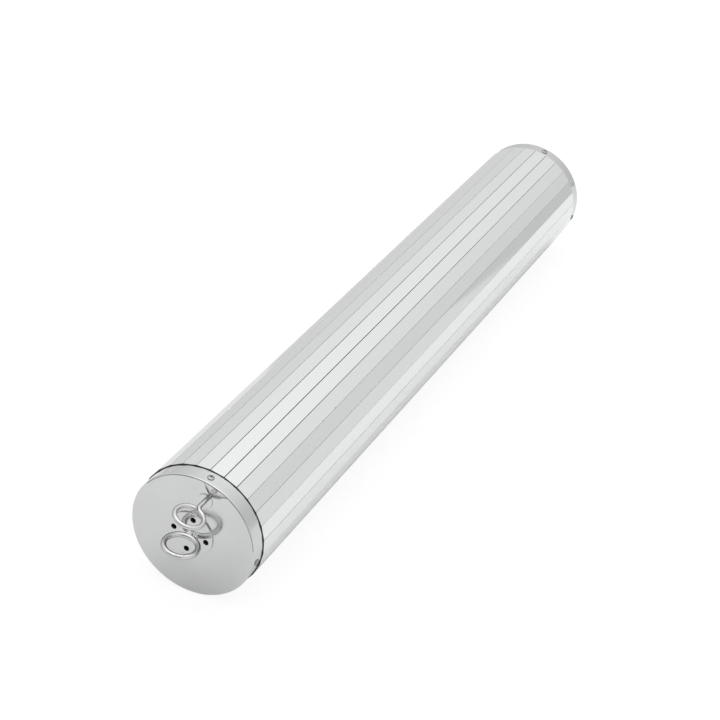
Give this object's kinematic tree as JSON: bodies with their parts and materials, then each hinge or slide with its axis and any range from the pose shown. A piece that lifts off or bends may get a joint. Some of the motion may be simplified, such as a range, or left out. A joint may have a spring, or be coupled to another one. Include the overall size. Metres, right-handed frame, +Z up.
{
  "type": "mirror cylinder",
  "caption": "Long drum of narrow mirror strips with polished metal end caps, a welded hanging ring and a turning safety eye, lying on its side.",
  "frame": {"origin": "centre of the whole object's base: the middle of its bounding box in X and Y, on the surface that the lowest mirror strip rests on", "axes": "+Y along the cylinder's axis towards the plain end, so the ring end looks to -Y; +Z up; +X to the right seen from the ring end"},
  "size_m": [0.15, 1.0614, 0.15],
  "materials": {
    "mirror_glass": "silvered float glass, flat, very slightly green",
    "polished_sheet": "polished sheet metal with a soft reflection",
    "ring_steel": "bright plated steel",
    "weld_steel": "plated weld bead",
    "screw_steel": "nickel-plated screw head",
    "zinc_steel": "zinc plated",
    "tube_plastic": "grey rigid plastic pipe",
    "plywood": "birch plywood, sawn rim"
  },
  "bodies": {
    "cylinder": {"core_tube": "tube_plastic", "mirror_strip_01": "mirror_glass", "mirror_strip_02": "mirror_glass", "mirror_strip_03": "mirror_glass", "mirror_strip_04": "mirror_glass", "mirror_strip_05": "mirror_glass", "mirror_strip_06": "mirror_glass", "mirror_strip_07": "mirror_glass", "mirror_strip_08": "mirror_glass", "mirror_strip_09": "mirror_glass", "mirror_strip_10": "mirror_glass", "mirror_strip_11": "mirror_glass", "mirror_strip_12": "mirror_glass", "mirror_strip_13": "mirror_glass", "mirror_strip_14": "mirror_glass", "mirror_strip_15": "mirror_glass", "mirror_strip_16": "mirror_glass", "mirror_strip_17": "mirror_glass", "mirror_strip_18": "mirror_glass", "mirror_strip_19": "mirror_glass", "mirror_strip_20": "mirror_glass", "mirror_strip_21": "mirror_glass", "mirror_strip_22": "mirror_glass", "mirror_strip_23": "mirror_glass", "mirror_strip_24": "mirror_glass", "mirror_strip_25": "mirror_glass", "mirror_strip_26": "mirror_glass", "mirror_strip_27": "mirror_glass", "mirror_strip_28": "mirror_glass", "ring_end_cap": "polished_sheet", "plain_end_cap": "polished_sheet", "ring_end_bulkhead": "plywood", "plain_end_bulkhead": "plywood", "ring_end_screws": "screw_steel", "plain_end_screws": "screw_steel", "ring_plate": "ring_steel", "hanging_ring": "ring_steel", "ring_weld": "weld_steel", "ring_stud": "zinc_steel", "stud_washer": "zinc_steel", "stud_locknut": "zinc_steel", "eye_washer": "zinc_steel"},
    "safety_eye": {"safety_eye_bolt": "ring_steel", "eye_locknut": "zinc_steel"}
  },
  "joints": [
    {"name": "safety_eye_turn", "type": "hinge", "parent": "cylinder", "child": "safety_eye", "pos_m": [0.01953, -0.46925, 0.13237], "axis": [0, -1, 0], "continuous": true}
  ]
}
